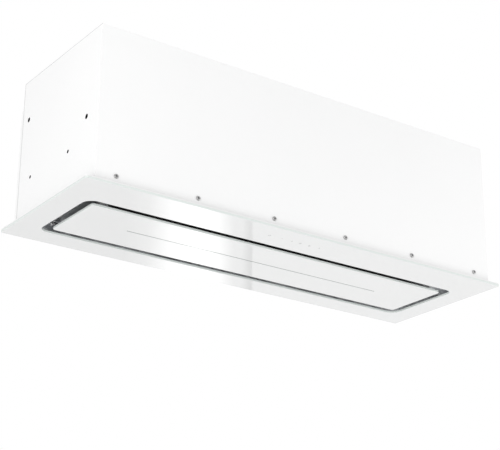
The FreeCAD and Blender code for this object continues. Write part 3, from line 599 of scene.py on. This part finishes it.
def diamond_sheet(low, high, z, notch=None):
    """One expanded sheet: diamonds with their strands left standing, trimmed to a rectangle."""
    shape = bmesh.new()
    centre = (low + high) / 2
    reach = high - low
    count = math.ceil(reach.x / diamond_length + reach.y / diamond_width) + 2
    bmesh.ops.create_grid(shape, x_segments=count, y_segments=count, size=count / 2)
    half_turned = math.sqrt(0.5)
    stretch = Matrix.Diagonal((diamond_length * half_turned, diamond_width * half_turned, 1.0, 1.0))
    turn = Matrix.Rotation(math.radians(45), 4, "Z")
    place = Matrix.Translation((centre.x, centre.y, z))
    bmesh.ops.transform(shape, matrix=place @ stretch @ turn, verts=shape.verts)
    trim(shape, high, (1, 0, 0))
    trim(shape, high, (0, 1, 0))
    trim(shape, low, (-1, 0, 0))
    trim(shape, low, (0, -1, 0))
    cells = shape.faces[:]
    bmesh.ops.inset_individual(shape, faces=cells, thickness=strand_width / 2)
    bmesh.ops.delete(shape, geom=cells, context="FACES_ONLY")
    if notch:
        cut_notch(shape, *notch)
    bmesh.ops.solidify(shape, geom=shape.faces[:], thickness=strand_thickness)
    return shape


def cut_notch(shape, left, right, far):
    """Takes out the strands between left and right, as far as far."""
    inside = []
    for face in shape.faces:
        middle = face.calc_center_median()
        if left < middle.x < right and middle.y < far:
            inside.append(face)
    bmesh.ops.delete(shape, geom=inside, context="FACES")


def filter_mesh(side):
    """The two expanded sheets of one filter, lying where its holed sheets are."""
    node = "filter_mesh_" + side
    low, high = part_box(node)
    latch_low, latch_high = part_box("filter_latch_" + side)
    notch = (latch_low.x - latch_room, latch_high.x + latch_room, latch_high.y + latch_bed)
    shape = bmesh.new()
    for z, cut in ((low.z + strand_thickness, notch), (high.z, None)):
        sheet = diamond_sheet(low, high, z, cut)
        mesh = bpy.data.meshes.new("layer")
        sheet.to_mesh(mesh)
        sheet.free()
        shape.from_mesh(mesh)
        bpy.data.meshes.remove(mesh)
    bmesh.ops.recalc_face_normals(shape, faces=shape.faces)
    add_piece(node + "_expanded", shape, "filter_aluminium", "hood", node)


# ---------------------------------------------------------------- latch springs


def latch_spring(side):
    """A wound spring behind a filter latch."""
    node = "latch_spring_" + side
    low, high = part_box(node)
    centre = (low + high) / 2
    length = high.y - low.y
    coil_radius = (high.x - low.x) / 2 - spring_wire / 2
    steps = spring_turns * spring_turn_steps
    start = Matrix.Translation((centre.x + coil_radius, low.y + spring_wire / 2, centre.z))
    shape = bmesh.new()
    section = bmesh.ops.create_circle(shape, cap_ends=True, segments=spring_wire_sides,
                                      radius=spring_wire / 2, matrix=start)["verts"]
    edges = list({edge for vert in section for edge in vert.link_edges})
    faces = list({face for vert in section for face in vert.link_faces})
    bmesh.ops.spin(shape, geom=section + edges + faces, cent=centre, axis=(0, 1, 0),
                   dvec=(0, (length - spring_wire) / steps, 0),
                   angle=2 * math.pi * spring_turns, steps=steps)
    bmesh.ops.recalc_face_normals(shape, faces=shape.faces)
    piece = add_piece(node + "_wound", shape, "bright_steel", "hood", node)
    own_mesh(piece)


# ---------------------------------------------------------------- studio

camera_place = (-1.4031, -1.9386, -0.8524)
camera_direction = (0.53976, 0.76118, 0.35955)
camera_roll = math.radians(0.36)
camera_lens = 100.54
camera_sensor = 36.0

floor_height = -2.3
floor_radius = 9.0
floor_sides = 64
floor_fade_start = 3.0
floor_glow = 0.25
soft_light = 0.60
card_distance = 3.4
card_direction = Vector((0.547, 0.837, 0.0))
card_height = 2.4
bright_card_start = -0.345
bright_card_end = 0.035
bright_card_ramp = ((0.0, 0.0), (0.55, 1.0), (0.63, 1.0), (1.0, 0.0))
bright_card_strength = 2.9
dim_card_start = 0.070
dim_card_end = 0.1165
dim_card_ramp = ((0.0, 0.0), (0.75, 0.65), (0.99, 0.72), (1.0, 0.72))
left_card_start = -1.60
left_card_end = -0.345
left_card_ramp = ((0.0, 0.0), (0.15, 0.30), (0.92, 0.30), (1.0, 0.0))

# Each lamp's place, aim, side in metres and power in watts
lamps = {
    "key": ((-3.6, -2.25, -0.85), (0.0, 0.0, 0.1), 2.4, 66.0),
    "corner": ((-1.15, -1.1, 0.35), (-0.40, -0.14, 0.20), 0.5, 1.6),
    "right": ((1.6, -1.3, -0.2), (0.43, -0.14, 0.12), 0.8, 8.5),
}


def add_camera():
    """The camera worked out from the straight edges of the photo."""
    data = bpy.data.cameras.new("photo_camera")
    data.lens = camera_lens
    data.sensor_width = camera_sensor
    camera = bpy.data.objects.new("photo_camera", data)
    turn = Vector(camera_direction).to_track_quat("-Z", "Y").to_matrix().to_4x4()
    roll = Matrix.Rotation(camera_roll, 4, "Z")
    camera.matrix_world = Matrix.Translation(camera_place) @ turn @ roll
    bpy.context.scene.collection.objects.link(camera)
    bpy.context.scene.camera = camera


def add_lamp(name, place, aim, size, power):
    """A square soft lamp that faces its aim."""
    data = bpy.data.lights.new(name, "AREA")
    data.shape = "SQUARE"
    data.size = size
    data.energy = power
    lamp = bpy.data.objects.new(name, data)
    turn = (Vector(aim) - Vector(place)).to_track_quat("-Z", "Y").to_matrix().to_4x4()
    lamp.matrix_world = Matrix.Translation(place) @ turn
    bpy.context.scene.collection.objects.link(lamp)


def stage_piece(name, shape, material):
    """A piece of the studio, which is no part of the hood."""
    mesh = bpy.data.meshes.new(name)
    shape.to_mesh(mesh)
    shape.free()
    mesh.materials.append(material)
    piece = bpy.data.objects.new(name, mesh)
    bpy.context.scene.collection.objects.link(piece)
    return piece


def floor_material():
    """Pale floor that fades out before its rim and isn't seen from below."""
    finish = Finish("pale_floor")
    coordinates = finish.add("ShaderNodeTexCoord", output="Object")
    distance = finish.add("ShaderNodeVectorMath", {"operation": "LENGTH"}, {0: coordinates},
                          output="Value")
    fade_inputs = {"Value": distance, "From Min": floor_fade_start, "From Max": floor_radius}
    fade = finish.add("ShaderNodeMapRange", {"interpolation_type": "SMOOTHSTEP"}, fade_inputs)
    below = finish.add("ShaderNodeNewGeometry", output="Backfacing")
    hidden = finish.math("MAXIMUM", fade, below)
    clear = finish.add("ShaderNodeBsdfTransparent")
    speckle = finish.spread(finish.noise(3.0, 3.0), 0.0, 1.0)
    finish.set(
        base_color=finish.blend(speckle, grey(0.93), grey(0.95)),
        roughness=0.7,
        emission_color=grey(1.0),
        emission_strength=floor_glow,
    )
    solid = Field(finish, finish.shader.outputs[0])
    mixed = finish.add("ShaderNodeMixShader", inputs={0: hidden, 1: solid, 2: clear})
    finish.feed(finish.surface, mixed)
    return finish.material


def add_floor():
    """A round floor under the hood."""
    shape = bmesh.new()
    bmesh.ops.create_circle(shape, cap_ends=True, segments=floor_sides, radius=floor_radius,
                            matrix=Matrix.Translation((0, 0, floor_height)))
    piece = stage_piece("floor", shape, floor_material())
    piece.data.transform(Matrix.Translation((0, 0, -floor_height)))
    piece.location.z = floor_height


def card_material(name, stops, colour, strength):
    """A glowing or dark card that fades in and out along its width by a ramp."""
    finish = Finish(name)
    x = finish.axes()[0]
    ramp = finish.add("ShaderNodeValToRGB", {"stops": stops}, {0: x + 0.5})
    glow = finish.add("ShaderNodeEmission", inputs={"Color": colour, "Strength": strength})
    clear = finish.add("ShaderNodeBsdfTransparent")
    mixed = finish.add("ShaderNodeMixShader", inputs={0: ramp, 1: clear, 2: glow})
    finish.feed(finish.surface, mixed)
    return finish.material


def add_card(name, start, end, material):
    """An upright card beyond the hood, between two places along its own width."""
    along = Vector((card_direction.y, -card_direction.x, 0.0))
    shape = bmesh.new()
    bmesh.ops.create_grid(shape, x_segments=1, y_segments=1, size=0.5,
                          matrix=Matrix.Rotation(math.radians(90), 4, "X"))
    piece = stage_piece(name, shape, material)
    middle = card_direction * card_distance + along * (start + end) / 2
    turn = Matrix.Rotation(math.atan2(along.y, along.x), 4, "Z")
    size = Matrix.Diagonal((end - start, 1.0, card_height, 1.0))
    piece.matrix_world = Matrix.Translation((middle.x, middle.y, -card_height / 2)) @ turn @ size
    piece.visible_camera = False
    piece.visible_diffuse = False
    piece.visible_shadow = False


def set_world():
    """White where it is looked at or reflected, and a little less as light."""
    world = bpy.data.worlds.new("studio")
    bpy.context.scene.world = world
    tree = Tree(world)
    camera, glossy, through = [tree.add("ShaderNodeLightPath", output=ray)
                               for ray in ("Is Camera Ray", "Is Glossy Ray", "Is Transmission Ray")]
    shown = tree.math("MAXIMUM", tree.math("MAXIMUM", camera, glossy), through)
    background = tree.nodes["Background"]
    tree.feed(background.inputs["Color"], grey(1.0))
    tree.feed(background.inputs["Strength"], shown * (1.0 - soft_light) + soft_light)


# ---------------------------------------------------------------- build

for node, piece in frame["nodes"].items():
    piece.data.materials[0] = finishes[node_slots[node]]
for node in ("front_wall_screws", "rear_wall_screws"):
    frame["nodes"][node].data.materials[0] = wall_screw_finish

for node in softened:
    soften(node)

key_marks()
filter_mesh("left")
filter_mesh("right")
latch_spring("left")
latch_spring("right")

add_camera()
add_floor()
bright = card_material("bright_card", bright_card_ramp, grey(1.0), bright_card_strength)
add_card("bright_card", bright_card_start, bright_card_end, bright)
dim = card_material("dim_card", dim_card_ramp, grey(0.0), 0.0)
add_card("dim_card", dim_card_start, dim_card_end, dim)
left = card_material("left_card", left_card_ramp, grey(0.0), 0.0)
add_card("left_card", left_card_start, left_card_end, left)
for name, (place, aim, size, power) in lamps.items():
    add_lamp(name, place, aim, size, power)
set_world()
bpy.context.scene.view_settings.view_transform = "Standard"
